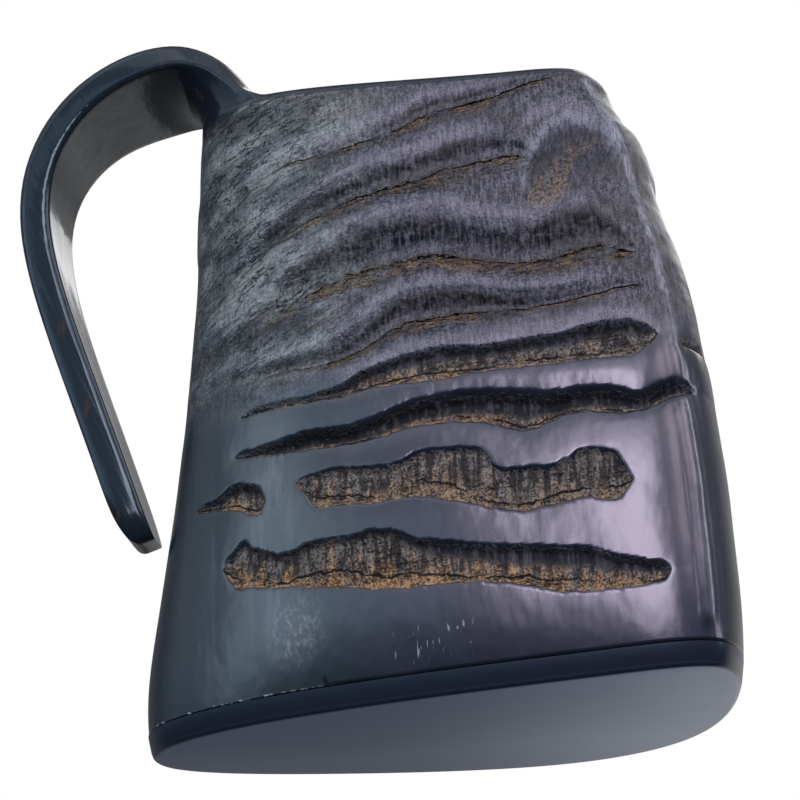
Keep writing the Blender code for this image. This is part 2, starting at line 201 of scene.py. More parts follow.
# These colour it and roughen it, with a seed before the roughness. Fibres run up the horn unless they are swept, and
# then they follow its rings, which climb to the broad side.
HORN_IOR = 1.55
RING_SWEEP = math.radians(24)
UPRIGHT_PATTERNS = {
    "clouds": ((45, 45, 30), 3.0, 0.0, 0.5),  # 22 mm wide
    "hairs": ((1250, 1250, 230), 5.0, 0.0, 0.72),  # 0.8 mm apart and 4 mm long, coarser than real ones, so as to show
    "grains": ((1900, 1900, 1900), 3.0, 0.0, 0.7),  # 0.5 mm
    "flecks": ((240, 240, 80), 4.0, 0.0, 0.6),  # 4 mm wide and 12 mm long
    "shade": ((60, 60, 160), 3.0, 0.0, 0.5),  # 17 mm long between the ridges
    "haze": ((330, 330, 60), 4.0, 0.0, 0.6),  # 3 mm wide
    "nicks": ((1900, 1900, 260), 1.0, 0.0, 0.5),  # 0.5 mm wide and 4 mm long
    "glints": ((1100, 1100, 700), 4.0, 0.0, 0.65),  # 1 mm
    "glue": ((700, 700, 500), 2.0, 0.0, 0.5),  # 1.4 mm
    "clumps": ((420, 420, 600), 3.0, 0.0, 0.6),  # 2.4 mm
    "layers": ((160, 160, 1300), 4.0, 0.0, 0.6),  # 6 mm long and 0.8 mm thick
    "combs": ((800, 800, 60), 3.0, 0.0, 0.6),  # 1.2 mm apart and 17 mm long
    "patches": ((150, 150, 250), 2.0, 0.0, 0.5),  # 7 mm
    "sway": ((70, 70, 20), 3.0, 0.0, 0.6),  # 14 mm
    "streaks": ((430, 430, 40), 4.0, 0.0, 0.6),  # 2.3 mm wide
    "gaps": ((90, 90, 90), 2.0, 0.0, 0.5),  # 11 mm
    "teeth": ((1500, 1500, 80), 4.0, 0.0, 0.62),  # 0.7 mm apart
    "scratches": ((2200, 2200, 70), 3.0, 0.0, 0.6),  # 0.45 mm apart and 14 mm long
    "dents": ((75, 75, 48), 3.0, 0.0, 0.5),  # 13 mm
}
SWEPT_PATTERNS = {
    "ringwise": ((380, 380, 1200), 5.0, 0.0, 0.72),  # 2.6 mm long and 0.8 mm apart
    "worn": ((62, 62, 110), 6.0, 0.0, 0.6),  # 16 mm
    "strokes": ((130, 130, 480), 5.0, 2.0, 0.65),  # 8 mm long and 2 mm wide
    "splits": ((110, 110, 420), 5.0, 4.0, 0.62),  # 9 mm long
    "facets": ((260, 130, 9), 2.0, 0.0, 0.5),  # 4 mm wide, right along the strap
}

# Larger forms of the front: its belly, the swell at its foot, and the dish near the upper corner
BELLY_X = 6.0 * MM
BELLY_HALF_LENGTH = 50.0 * MM
BELLY_RISE = 35.0 * MM
FOOT_RISE = 16.0 * MM
DISH_X = 38.5 * MM
DISH_Z = 115.5 * MM
DISH_HALF_LENGTH = 10.5 * MM
DISH_HALF_HEIGHT = 14.5 * MM
DISH_FOOT = 103.0 * MM

# Between these heights the polish gives way to horn that was only rubbed over, and clear edges to soft ones
RUBBED_ABOVE = (76 * MM, 96 * MM)
UNCLEAR_ABOVE = (98 * MM, 102 * MM)

# The studio's soft boxes: the way to each from the horn, its distance in metres, its size, power and colour
SOFTBOXES = (
    ("key", (-0.03, -0.97, 0.22), 0.73, (0.26, 0.3), 3.5, "#fbf5ff"),
    ("upper", (-0.04, -0.87, 0.49), 0.8, (0.32, 0.24), 1.3, "#f6f2ff"),
    ("front_left", (-0.68, -0.72, 0.25), 1.0, (0.75, 0.35), 1.5, "#b4cfe2"),
    ("right", (0.55, -0.68, 0.48), 0.9, (0.45, 0.45), 3.2, "#fff3f5"),
    ("overhead", (-0.25, -0.55, 0.8), 1.1, (1.0, 0.7), 2.7, "#e4eef8"),
    ("left", (-0.75, -0.55, 0.35), 1.0, (0.4, 0.6), 1.0, "#e6f2fa"),
    ("corner_strip", (0.92, -0.12, 0.38), 1.0, (0.09, 0.9), 3.2, "#ffffff"),
    ("behind", (0.3, 0.9, 0.8), 1.2, (0.8, 0.5), 2.0, "#ffffff"),
)

# How finely the horn is divided
OUTLINE_SAMPLES = 1320
STRAP_COLUMNS = 8
WALL_COLUMNS = 36
WALL_ROWS = 18
STRAP_ROWS = 24
PATH_STEPS = 120
COLUMN_CROWDING = 1.25
ROW_CROWDING = 1.1
STRAP_ROW_CROWDING = 0.8
EDGE_CREASE = 0.45
FINE_BELOW = (RIM_HEIGHT + RIM_RISE, 80.0 * MM)

# The plain bands that the carving keeps off: beside the strap's root, and under the rim, where it then fades in
STRAP_MARGIN = 2.0 * MM
RIM_EDGE = 0.8 * MM
RIM_BAND = 4.0 * MM
RIM_BAND_BY_STRAP = 14.0 * MM
BY_STRAP_FROM = -34.0 * MM
BY_STRAP_OVER = 14.0 * MM

# The windows that the groove curves are drawn in: X from here over this length, and heights up to these
WINDOW_X = -70.0 * MM
WINDOW_LENGTH = 140.0 * MM
WINDOW_HEIGHT = 160.0 * MM
WINDOW_HALF = 15.0 * MM


def closed_spline(points, parameters):
    """A smooth closed curve drawn by the points, read at parameters that count the points."""
    start = np.floor(parameters).astype(int)
    f = (parameters - start)[:, None]
    a, b, c, d = (points[(start + step) % len(points)] for step in (-1, 0, 1, 2))
    near = b * (3 * f**3 - 6 * f**2 + 4) + c * (1 + 3 * f + 3 * f**2 - 3 * f**3)
    return (a * (1 - f) ** 3 + near + d * f**3) / 6


def round_the_horn(values):
    """One value for each lengthwise edge, eased into one for each sample of an outline."""
    return closed_spline(np.array(values), np.linspace(0, len(values), OUTLINE_SAMPLES, endpoint=False))


def outline(shares, length, depth, centre):
    """The outline drawn by the shares, made exactly as long and deep as the sizes say."""
    curve = round_the_horn(shares)
    low, high = curve.min(axis=0), curve.max(axis=0)
    return (curve - (low + high) / 2) / (high - low) * (length, depth) + centre


SEAM_OUTLINE = outline([edge[0] for edge in HORN_EDGES], SEAM_LENGTH, SEAM_DEPTH, (0, 0))
RIM_OUTLINE = outline([edge[1] for edge in HORN_EDGES], RIM_LENGTH, RIM_DEPTH, (RIM_SHIFT_X, RIM_SHIFT_Y))
SWELL = round_the_horn([edge[2:] for edge in HORN_EDGES])[:, 0]


def rim_level(x):
    """The rim climbs evenly from the broad side to the handle."""
    return RIM_HEIGHT + RIM_RISE * (RIM_SHIFT_X + RIM_LENGTH / 2 - x) / RIM_LENGTH


RIM_LEVELS = rim_level(RIM_OUTLINE[:, 0])


def horn_outline(heights):
    """The horn's outside at a height for each sample: upright at its foot, then drawn in to the rim."""
    climb = np.clip((heights - SEAM_HEIGHT) / (RIM_LEVELS - SEAM_HEIGHT), 0, 1)
    foot = FOOT_HEIGHT / (RIM_LEVELS - SEAM_HEIGHT)
    climb = climb**2 * (1 + foot) / (climb + foot)
    drawn_in = np.where(SWELL >= 1, climb**SWELL, 1 - (1 - climb) ** (1 / SWELL))
    return SEAM_OUTLINE + (RIM_OUTLINE - SEAM_OUTLINE) * drawn_in[:, None]


def inset(points, distance):
    """A closed outline moved inwards by a distance."""
    along = np.roll(points, -1, axis=0) - np.roll(points, 1, axis=0)
    along /= np.linalg.norm(along, axis=1)[:, None]
    return points + distance * np.column_stack([-along[:, 1], along[:, 0]])


def lengths_along(points):
    steps = np.linalg.norm(np.diff(points, axis=0), axis=1)
    return np.concatenate([[0], np.cumsum(steps)])


def eased(share):
    share = min(max(share, 0.0), 1.0)
    return share * share * (3 - 2 * share)


def quarter_round(share):
    """Falls from 1 to 0 as a quarter circle does."""
    return math.sqrt(1 - min(max(share, 0.0), 1.0) ** 2)


class RimArc:
    """The rim's outline by its length, counted from the horn's narrow edge towards the front."""

    def __init__(self):
        first = int(np.argmin(RIM_OUTLINE[:, 0]))
        self.order = (np.arange(OUTLINE_SAMPLES + 1) + first) % OUTLINE_SAMPLES
        self.lengths = lengths_along(RIM_OUTLINE[self.order])
        self.girth = self.lengths[-1]
        self.narrow_edge = RIM_OUTLINE[first]

    def read(self, values, arcs):
        """Values round the outline, read at lengths along the rim."""
        return np.array([np.interp(arcs % self.girth, self.lengths, row) for row in values[self.order].T]).T

    def columns(self):
        """Lengths along the rim of the wall's columns: the strap's first, then closer on the front."""
        half_root = STRAP_ROOT_WIDTH / 2 + STRAP_ROOT_FILLET
        strap = np.linspace(-half_root, half_root, STRAP_COLUMNS + 1)
        share = (np.arange(1, WALL_COLUMNS) / WALL_COLUMNS) ** COLUMN_CROWDING
        return np.concatenate([strap, half_root + (self.girth - 2 * half_root) * share])


class StrapPath:
    """The strap's hollow side, from the rim over its crest and bow to its free end, in X and Z."""

    def __init__(self, root):
        crest = root + Vector((-STRAP_CREST_OUT, STRAP_RISE))
        bow = root + Vector((-STRAP_REACH, -STRAP_BOW_DROP))
        end = root + Vector((-STRAP_END_OUT, -STRAP_END_DROP))
        last = Vector((math.sin(STRAP_END_LEAN), -math.cos(STRAP_END_LEAN)))
        drop = bow.y - end.y
        spans = (
            self.quarter_turn(root, Vector((root.x, crest.y)), crest),
            self.quarter_turn(crest, Vector((bow.x, crest.y)), bow),
            (bow, bow - Vector((0, STRAP_BOW_PULL * drop)), end - last * STRAP_END_PULL * drop, end),
        )
        points = [point for span in spans for point in interpolate_bezier(*span, PATH_STEPS)[:-1]]
        self.points = np.array([*points, end])
        self.lengths = lengths_along(self.points)
        self.length = self.lengths[-1]

    @staticmethod
    def quarter_turn(start, corner, end):
        """A quarter of an ellipse that runs towards the corner first."""
        pull = 4 / 3 * (math.sqrt(2) - 1)
        return start, start.lerp(corner, pull), end.lerp(corner, pull), end

    def at(self, length):
        """The place, the direction and the way out of the hollow side at this length along the strap."""
        place = np.array([np.interp(length, self.lengths, self.points[:, k]) for k in (0, 1)])
        near = min(int(np.searchsorted(self.lengths, length, side="right")), len(self.points) - 1)
        before, after = self.points[max(near - 4, 0)], self.points[min(near + 3, len(self.points) - 1)]
        along = (after - before) / np.linalg.norm(after - before)
        return place, along, np.array([-along[1], along[0]])

    def half_width(self, length):
        width = STRAP_END_WIDTH + (STRAP_ROOT_WIDTH - STRAP_END_WIDTH) * math.exp(-length / STRAP_NARROWING)
        width *= (1 + quarter_round(1 - (self.length - length) / STRAP_END_WIDTH)) / 2
        fillet = STRAP_ROOT_FILLET * (1 - quarter_round(1 - length / STRAP_ROOT_FILLET))
        return width / 2 + fillet

    def thickness(self, length):
        grown = WALL_AT_RIM + (STRAP_THICKNESS - WALL_AT_RIM) * eased(length / STRAP_UNCURL)
        rounded = quarter_round(1 - (self.length - length) / STRAP_END_ROUNDING)
        return STRAP_END_THICKNESS + (grown - STRAP_END_THICKNESS) * rounded


def cage_round(points):
    """A ring of points spread outwards, so that the smoothed surface passes through where they were."""
    return points + (2 * points - np.roll(points, 1, axis=0) - np.roll(points, -1, axis=0)) / 6


def wall_rows(rim, arcs):
    """The wall's rows from below the seam to the rim, each as its points and its thickness."""
    low = SEAM_HEIGHT - WALL_AT_SEAM
    for share in 1 - np.linspace(1, 0, WALL_ROWS + 1) ** ROW_CROWDING:
        heights = low + (RIM_LEVELS - low) * share
        points = np.column_stack([horn_outline(heights), heights])
        yield cage_round(rim.read(points, arcs)), WALL_AT_SEAM + (WALL_AT_RIM - WALL_AT_SEAM) * share


def strap_rows(rim):
    """The strap's rows past the rim. Its section starts curled like the wall and flattens on the way."""
    narrow_x, narrow_y = rim.narrow_edge
    path = StrapPath(Vector((narrow_x, rim_level(narrow_x))))
    for row in range(1, STRAP_ROWS + 1):
        turn = 2 * math.pi * row / STRAP_ROWS
        length = path.length * (turn - STRAP_ROW_CROWDING * math.sin(turn)) / (2 * math.pi)
        place, along, outward = path.at(length)
        arcs = path.half_width(length) * np.linspace(-1, 1, STRAP_COLUMNS + 1)
        curled = rim.read(RIM_OUTLINE, arcs)
        curl = 1 - eased(length / STRAP_UNCURL)
        behind = curl * (curled[:, 0] - narrow_x)
        lag = curl * (rim_level(curled[:, 0]) - rim_level(narrow_x))
        across = narrow_y + curl * (curled[:, 1] - narrow_y) + (1 - curl) * (STRAP_SWAY - arcs)
        flat = place - behind[:, None] * outward + lag[:, None] * along
        yield np.column_stack([flat[:, 0], across, flat[:, 1]]), path.thickness(length)


def add_band(mesh, lower, upper, closed=True):
    """Faces between two rows of points."""
    for here in range(len(upper) - (not closed)):
        after = (here + 1) % len(upper)
        mesh.faces.new((lower[here], lower[after], upper[after], upper[here]))


def horn_sheet():
    """The horn's outside as one open sheet, wall and strap, weighted with the wall's thickness."""
    rim = RimArc()
    arcs = rim.columns()
    mesh = bmesh.new()
    weights = mesh.verts.layers.deform.verify()

    def add_row(points, thickness):
        row = [mesh.verts.new(point) for point in points]
        for vert in row:
            vert[weights][0] = thickness / STRAP_THICKNESS
        return row

    lower = None
    for points, thickness in wall_rows(rim, arcs):
        upper = add_row(points, thickness)
        if lower:
            add_band(mesh, lower, upper)
        lower = upper
    for points, thickness in strap_rows(rim):
        upper = add_row(points, thickness)
        add_band(mesh, lower, upper, closed=False)
        lower = upper
    return mesh


def linear(hex_colour):
    """An sRGB hex colour as linear red, green, blue and alpha."""
    shares = [int(hex_colour[k : k + 2], 16) / 255 for k in (1, 3, 5)]
    return [s / 12.92 if s <= 0.04045 else ((s + 0.055) / 1.055) ** 2.4 for s in shares] + [1.0]


# Nodes that come up often, by a short name: Blender's kind, its settings, the inputs that values fill in turn, and the
# output that is read. "ease" goes smoothly from 0 to 1, or between two given values, as its first value passes from one
# limit to another. "paint" lays a share of one colour over another. SIGNS are operations of a Math node.
LIMITS = ("Value", "From Min", "From Max", "To Min", "To Max")
NODES = {
    "ease": ("ShaderNodeMapRange", {"interpolation_type": "SMOOTHSTEP"}, LIMITS, 0),
    "mix": ("ShaderNodeMix", {}, (0, 2, 3), 0),
    "paint": ("ShaderNodeMix", {"data_type": "RGBA"}, (0, 6, 7), 2),
    "split": ("ShaderNodeSeparateXYZ", {}, (0,), slice(None)),
    "stretch": ("ShaderNodeVectorMath", {"operation": "MULTIPLY"}, (0, 1), 0),
    "noise": ("ShaderNodeTexNoise", {"noise_dimensions": "4D"}, ("Vector", "W", "Scale", "Detail", "Roughness"), 0),
}
SIGNS = {
    "*": "MULTIPLY", "+": "ADD", "-": "SUBTRACT", "/": "DIVIDE", "max": "MAXIMUM", "min": "MINIMUM", "abs": "ABSOLUTE",
    "exp": "EXPONENT", "root": "SQRT", "power": "POWER", ">": "GREATER_THAN", "<": "LESS_THAN",
}


def add(tree, kind, *values, **settings):
    """Adds a node with its settings, and sets or links its inputs to the values in turn, or by one dictionary.

    A short name from NODES or SIGNS gives back the output to go on with, and Blender's own kind the node. A sign takes
    in more than two values from left to right. A tuple that starts with an output is eased.
    """
    if kind in SIGNS and len(values) > 2:
        return reduce(partial(add, tree, kind, **settings), values)
    plain = ("ShaderNodeMath", {"operation": SIGNS[kind]}, (0, 1), 0) if kind in SIGNS else (kind, {}, (), None)
    kind, fixed, keys, output = NODES.get(kind, plain)
    made = tree.nodes.new(kind)
    for name, value in {**fixed, **settings}.items():
        setattr(made, name, value)
    by_name = values and isinstance(values[0], dict)
    for key, value in values[0].items() if by_name else zip(keys, values):
        if isinstance(value, tuple) and isinstance(value[0], bpy.types.NodeSocket):
            value = add(tree, "ease", *value)
        elif isinstance(value, str) and value.startswith("#"):
            value = linear(value)
        if isinstance(value, bpy.types.NodeSocket):
            tree.links.new(value, made.inputs[key])
        else:
            made.inputs[key].default_value = value
    return made if output is None else made.outputs[output]


def put(name, mesh):
    """A mesh as an object of the scene."""
    data = bpy.data.meshes.new(name)
    mesh.to_mesh(data)
    mesh.free()
    data.shade_smooth()
    thing = bpy.data.objects.new(name, data)
    bpy.context.scene.collection.objects.link(thing)
    return thing


def applied(thing):
    """The object with its modifiers worked into its mesh, and the modifiers gone."""
    graph = bpy.context.evaluated_depsgraph_get()
    mesh = bpy.data.meshes.new_from_object(thing.evaluated_get(graph))
    thing.modifiers.clear()
    old, thing.data = thing.data, mesh
    bpy.data.meshes.remove(old)
    return thing


def smooth_horn():
    """The horn as one closed body, with no grooves yet, its front divided finely for them."""
    body = put("horn_tankard_body", horn_sheet())
    body.vertex_groups.new(name="wall_thickness")
    wall = body.modifiers.new("wall", "SOLIDIFY")
    wall.thickness = STRAP_THICKNESS
    wall.vertex_group = "wall_thickness"
    wall.offset = -1
    wall.use_even_offset = True
    wall.use_quality_normals = True
    wall.material_offset = 1
    wall.material_offset_rim = 2
    wall.edge_crease_outer = EDGE_CREASE
    wall.edge_crease_inner = EDGE_CREASE
    for _ in range(3):
        body.data.materials.append(None)
    rounding = body.modifiers.new("rounded_edges", "SUBSURF")
    rounding.levels = 2
    rounding.render_levels = 2
    applied(body)

    mesh = bmesh.new()
    mesh.from_mesh(body.data)
    skin = mesh.verts.layers.float.new("skin")
    plane = Vector((0, 0, SEAM_HEIGHT))
    everything = [*mesh.verts, *mesh.edges, *mesh.faces]
    bmesh.ops.bisect_plane(mesh, geom=everything, plane_co=plane, plane_no=(0, 0, 1), clear_inner=True)
    bmesh.ops.bridge_loops(mesh, edges=[edge for edge in mesh.edges if edge.is_boundary])
    mesh.normal_update()

    levels = np.linspace(SEAM_HEIGHT, RIM_HEIGHT + RIM_RISE, 30)
    narrow_edge = [horn_outline(np.full(OUTLINE_SAMPLES, level))[:, 0].min() for level in levels]

    def on_wall(x, z):
        return x > np.interp(z, levels, narrow_edge) - STRAP_MARGIN

    def on_front(face):
        x, _, z = face.calc_center_median()
        outside = face.material_index == 0 and face.normal.y < 0.0
        return outside and z < rim_level(x) - RIM_BAND and on_wall(x, z)

    for top in FINE_BELOW:
        front = [face for face in mesh.faces if on_front(face) and face.calc_center_median().z < top]
        edges = list({edge for face in front for edge in face.edges})
        bmesh.ops.subdivide_edges(mesh, edges=edges, cuts=1, use_grid_fill=True)
    outer = [vert for vert in mesh.verts if vert.link_faces and all(f.material_index == 0 for f in vert.link_faces)]
    fine = [vert for vert in outer if any(on_front(f) for f in vert.link_faces) and vert.co.z > SEAM_HEIGHT + 1 * MM]
    for _ in range(3):
        bmesh.ops.smooth_vert(mesh, verts=fine, factor=0.5, use_axis_x=True, use_axis_y=True, use_axis_z=False)

    # The skin's share is full on the wall, and fades out under the rim, further down beside the strap
    for vert in outer:
        x, _, z = vert.co
        fade = RIM_BAND + (RIM_BAND_BY_STRAP - RIM_BAND) * eased((BY_STRAP_FROM - x) / BY_STRAP_OVER)
        vert[skin] = eased((rim_level(x) - RIM_EDGE - z) / fade) if on_wall(x, z) else 0.0
    for face in mesh.faces:
        face.material_index = 0
    mesh.to_mesh(body.data)
    mesh.free()
    body.data.materials.clear()
    body.vertex_groups.clear()
    body.data.shade_smooth()
    return body


def draw_curve(mapping, points):
    """Draws a curve through points from 0 to 1."""
    shape = mapping.curves[0].points
    for point in points[1:-1]:
        shape.new(*point)
    shape[0].location, shape[len(shape) - 1].location = points[0], points[-1]
    for point in shape:
        point.handle_type = "AUTO_CLAMPED"
    mapping.update()


def sockets(tree, way, **names):
    """Names the tree's inputs or outputs, each with its kind of socket."""
    for name, socket in names.items():
        tree.interface.new_socket(name, in_out=way, socket_type="NodeSocket" + socket)


def one_groove_tree():
    """Node group for one groove: adds it to what was cut before, and keeps the facts of the groove nearest by."""
    tree = bpy.data.node_groups.new("one_groove", "GeometryNodeTree")
    sizes = "X Z Centre Half Start End Depth Fibre Mark Roll Lip_Width Edge_Before Sunk_Before Crest_Before".split()
    sockets(tree, "INPUT", **{name: "Float" for name in sizes}, Facts_Before="Vector")
    sockets(tree, "OUTPUT", Edge="Float", Sunk="Float", Crest="Float", Facts="Vector")
    node = partial(add, tree)
    given = node("NodeGroupInput").outputs
    half, depth, mark = given["Half"], given["Depth"], given["Mark"]

    up = node("-", given["Z"], given["Centre"])
    past = node("max", node("-", given["Start"], given["X"]), node("-", given["X"], given["End"]))
    reach = node("-", half, node("abs", up), node("max", past, 0.0))
    level = node("+", node("/", node("*", up, 0.5), half), 0.5)
    across = node("+", level, 0.0, use_clamp=True)

    # A torn groove: an upper lip that rolls over, a floor that rises to the front, and a low step to its lower lip
    under = node("/", node("-", half, up), node("+", given["Roll"], 0.35 * MM))
    ledge = node("ease", node("+", half, up), -0.2 * MM, 0.6 * MM)
    rise = node("ease", across, 0.0, 0.8, 0.45, 1.0, interpolation_type="LINEAR")
    torn = node("*", (under, -1.0, 1.3), ledge, rise)
    # A terrace: a soft crest, a riser that looks down, and a slope that runs out to the next crest
    is_terrace = node(">", mark, 0.99)
    slope = node("ease", level, -0.15, node("-", mark, 0.75))
    terrace = node("*", slope, (level, 1.15, 0.66))
    profile = node("mix", is_terrace, torn, terrace)
    fade = node("/", past, node("-", given["End"], given["Start"]))
    ends = node("mix", is_terrace, (past, 1.2 * MM, -2.5 * MM), (fade, 0.0, -0.22))
    cut = node("*", profile, depth, ends)
    # The ridges are round, so they fall away towards each groove
    away = node("exp", node("/", node("min", reach, 0.0), given["Lip_Width"]))
    lip = node("*", away, given["Roll"])

    # The crest that stands over the groove, which takes the polish
    over = node("-", up, half)
    deep = node("/", depth, 2 * MM, use_clamp=True)
    crest = node("*", (over, -2.0 * MM, 0.8 * MM), (over, 6.0 * MM, 1.0 * MM), ends, deep)

    # A groove without fibre only shapes the surface
    reach = node("-", reach, node("<", given["Fibre"], 0.01))
    nearer = node(">", reach, given["Edge_Before"])
    facts = node("ShaderNodeCombineXYZ", {0: across, 1: given["Fibre"], 2: mark}).outputs[0]
    kept = node("ShaderNodeMix", {0: nearer, 4: given["Facts_Before"], 5: facts}, data_type="VECTOR").outputs[1]
    edge = node("max", reach, given["Edge_Before"])
    sunk = node("max", node("+", cut, lip), given["Sunk_Before"])
    crest = node("max", crest, given["Crest_Before"])
    node("NodeGroupOutput", {"Edge": edge, "Sunk": sunk, "Crest": crest, "Facts": kept})
    return tree


def carving_tree():
    """Geometry Nodes that sink the grooves into the horn, round their lips and tear their floors into fibres."""
    tree = bpy.data.node_groups.new("carved_horn", "GeometryNodeTree")
    sizes = "Lip_Width Ragged Fibre_Height Lumps Ring_Height Crest_Height Belly Foot Seed".split()
    sockets(tree, "INPUT", Horn="Geometry", **{name: "Float" for name in sizes}, Finish="Material")
    sockets(tree, "OUTPUT", Horn="Geometry")
    node = partial(add, tree)
    given = node("NodeGroupInput").outputs

    place = node("GeometryNodeInputPosition").outputs[0]
    outward = node("GeometryNodeInputNormal").outputs[0]
    skin = node("GeometryNodeInputNamedAttribute", {"Name": "skin"}, data_type="FLOAT").outputs[0]
    x, _, z = node("split", place)
    side, facing, _ = node("split", outward)
    clear = node("*", skin, (z, SEAM_HEIGHT + 1 * MM, SEAM_HEIGHT + 6 * MM))
    front = node("*", (facing, 0.05, -0.3), clear)
    noise = SimpleNamespace()
    for name, (per_metre, detail, rough) in CARVED_PATTERNS.items():
        pattern = node("noise", node("stretch", place, per_metre), given["Seed"], 1.0, detail, rough)
        setattr(noise, name, node("-", pattern, 0.5))

    # Ragged edges: each point looks for its grooves a little way up or down
    wander = node("*", node("+", noise.coarse, node("*", noise.fine, 0.6)), given["Ragged"])
    ragged_z = node("+", z, wander)
    ragged_x = node("+", x, node("*", wander, 1.5))
    along = node("/", node("-", x, WINDOW_X), WINDOW_LENGTH)

    rolled = node("ease", x, -45 * MM, 25 * MM, 0.3 * MM, 1.0 * MM)
    edge, sunk, ridge, facts = -1.0, 0.0, 0.0, (0.0, 0.0, 0.0)
    one = one_groove_tree()
    for depth, fibre, mark, roll, stations in FRONT_GROOVES:
        reach, low, high = np.array(stations).T * MM
        shares = (reach - WINDOW_X) / WINDOW_LENGTH
        taper = np.minimum(1, (high - low) / FULL_DEPTH_FROM)
        lines = []
        for values in ((low + high) / 2 / WINDOW_HEIGHT, (high - low) / 2 / WINDOW_HALF, taper):
            curve = node("ShaderNodeFloatCurve", {"Value": along})
            draw_curve(curve.mapping, [(float(a), float(b)) for a, b in zip(shares, values)])
            lines.append(curve.outputs[0])
        keys = {
            "X": ragged_x,
            "Z": ragged_z,
            "Centre": node("*", lines[0], WINDOW_HEIGHT),
            "Half": node("*", lines[1], WINDOW_HALF),
            "Start": float(reach[0]),
            "End": float(reach[-1]),
            "Depth": node("*", lines[2], depth * MM),
            "Fibre": fibre,
            "Mark": mark,
            "Roll": node("*", rolled, roll),
            "Lip_Width": given["Lip_Width"],
            "Edge_Before": edge,
            "Sunk_Before": sunk,
            "Crest_Before": ridge,
            "Facts_Before": facts,
        }
        edge, sunk, ridge, facts = node("GeometryNodeGroup", keys, node_tree=one).outputs
    across, fibre, mark = node("split", facts)

    # Fibres lie along the groove in its floor and stand across it on its upper wall
    strands = node("mix", (across, 0.15, 0.5), noise.lying, noise.standing)
    inside = node("ease", edge, 0.0, 0.6 * MM)
    torn = node("*", (fibre, 0.0, 0.3), (mark, 1.0, 0.98, 0.5, 1.0))
    strands = node("*", strands, given["Fibre_Height"], inside, torn)
    carved = node("*", node("+", sunk, strands), front)

    # Growth rings go right round as low waves, clearest on the broad side under the rim
    waves = node("ShaderNodeFloatCurve", {"Value": node("/", z, WINDOW_HEIGHT)})
    draw_curve(waves.mapping, [(height * MM / WINDOW_HEIGHT, value) for height, value in GROWTH_RINGS])
    ring = node("-", waves.outputs[0], 0.5)
    ring = node("*", ring, given["Ring_Height"], (side, 0.1, 0.7, 0.3, 1.0), clear)

    # The upper half is lumpy between its rings
    upper = node("*", (z, 66 * MM, 85 * MM), front, (side, -0.8, -0.3))
    lumps = node("*", noise.lumps, given["Lumps"], upper)

    # A worn crest runs up the corner between the front and the broad side
    corner = node("*", (side, 0.22, 0.5), (side, 0.78, 0.5))
    crest = node("*", corner, given["Crest_Height"], front)

    def swelling(over):
        """Rises quickly from the seam and levels off over this height."""
        short = node("-", 1.0, node("/", node("-", z, SEAM_HEIGHT), over), use_clamp=True)
        return node("-", 1.0, node("*", short, short))

    # The front bellies out between the handle and that corner
    bow = node("power", node("/", node("-", x, BELLY_X), BELLY_HALF_LENGTH), 2.0)
    bow = node("-", 1.0, bow, use_clamp=True)
    belly = node("*", bow, swelling(BELLY_RISE), (z, 150 * MM, 105 * MM))
    belly = node("*", belly, given["Belly"], (facing, 0.0, -0.3))
    # All round, the foot curls under a little to the seam
    foot = node("*", swelling(FOOT_RISE), given["Foot"], skin)

    lift = node("-", node("+", ring, belly, foot, crest, lumps), carved)
    offset = node("ShaderNodeVectorMath", {0: outward, "Scale": lift}, operation="SCALE").outputs[0]
    result = given["Horn"]
    for name, kind, value in (
        ("edge", "FLOAT", node("+", edge, (front, 0.5, 0.0, 0.0, -0.05))),
        ("ridge", "FLOAT", ridge),
        ("worn_crest", "FLOAT", node("/", crest, given["Crest_Height"])),
        ("groove", "FLOAT_VECTOR", facts),
    ):
        store = {"Geometry": result, "Name": name, "Value": value}
        result = node("GeometryNodeStoreNamedAttribute", store, data_type=kind, domain="POINT").outputs[0]
    result = node("GeometryNodeSetPosition", {"Geometry": result, "Offset": offset}).outputs[0]
    result = node("GeometryNodeRealizeInstances", {"Geometry": result}).outputs[0]
    result = node("GeometryNodeSetMaterial", {"Geometry": result, "Material": given["Finish"]}).outputs[0]
    node("NodeGroupOutput", {0: result})
    return tree


def run_tree(thing, tree, **values):
    """Works the tree into the object's mesh, with its named inputs set."""
    modifier = thing.modifiers.new(tree.name, "NODES")
    modifier.node_group = tree
    for item in tree.interface.items_tree:
        if item.in_out == "INPUT" and item.name in values:
            modifier[item.identifier] = values[item.name]
    return applied(thing)


def finish(name, **values):
    """A new material with these values on its shader, and its tree and shader to go on with."""
    material = bpy.data.materials.new(name)
    material.use_nodes = True
    shader = material.node_tree.nodes["Principled BSDF"]
    for socket, value in values.items():
        shader.inputs[socket.replace("_", " ")].default_value = value
    return material, material.node_tree, shader


